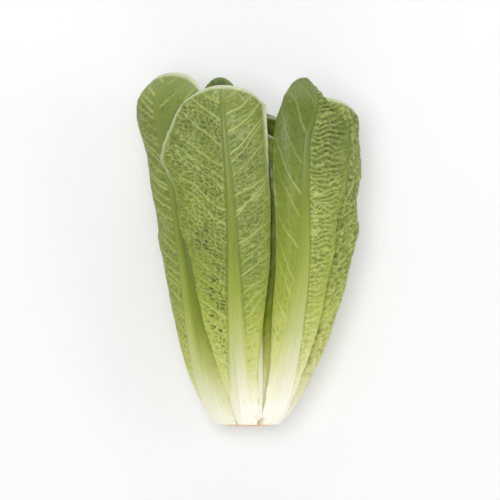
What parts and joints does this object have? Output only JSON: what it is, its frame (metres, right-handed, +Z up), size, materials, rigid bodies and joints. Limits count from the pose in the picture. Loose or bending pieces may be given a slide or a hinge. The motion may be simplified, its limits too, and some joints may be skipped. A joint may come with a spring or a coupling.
{
  "type": "romaine lettuce head",
  "caption": "Long upright head of crinkled, ribbed romaine leaves in nested layers round a short cut stem, lying on its side.",
  "frame": {"origin": "middle of the bottom of the head's box, on the surface that the head lies on", "axes": "+Y from the cut stem to the leaf tips, +Z up from the surface, +X to the right as seen from above with the tips away"},
  "size_m": [0.189, 0.297, 0.1153],
  "materials": {
    "stem": "moist matte cream flesh, peach and lightly browned at the cut",
    "outer_leaf": "waxy satin leaf, mid green at the tip, paler along ribs and veins, white at the base",
    "heart_leaf": "waxy satin leaf, pale yellow-green"
  },
  "bodies": {
    "root": {"stem": "stem", "leaf_front_left": "outer_leaf", "leaf_front_right": "outer_leaf", "leaf_left": "outer_leaf", "leaf_right": "outer_leaf", "leaf_under_left": "outer_leaf", "leaf_under_middle": "outer_leaf", "leaf_under_right": "outer_leaf", "leaf_behind_front": "outer_leaf", "leaf_inner_01": "heart_leaf", "leaf_inner_02": "heart_leaf", "leaf_inner_03": "heart_leaf", "leaf_inner_04": "heart_leaf", "leaf_inner_05": "heart_leaf", "leaf_inner_06": "heart_leaf", "leaf_inner_07": "heart_leaf", "leaf_inner_08": "heart_leaf", "leaf_inner_09": "heart_leaf", "leaf_inner_10": "heart_leaf", "leaf_inner_11": "heart_leaf", "leaf_inner_12": "heart_leaf", "leaf_inner_13": "heart_leaf", "leaf_inner_14": "heart_leaf", "leaf_inner_15": "heart_leaf", "leaf_inner_16": "heart_leaf", "leaf_inner_17": "heart_leaf", "leaf_inner_18": "heart_leaf"}
  },
  "joints": []
}
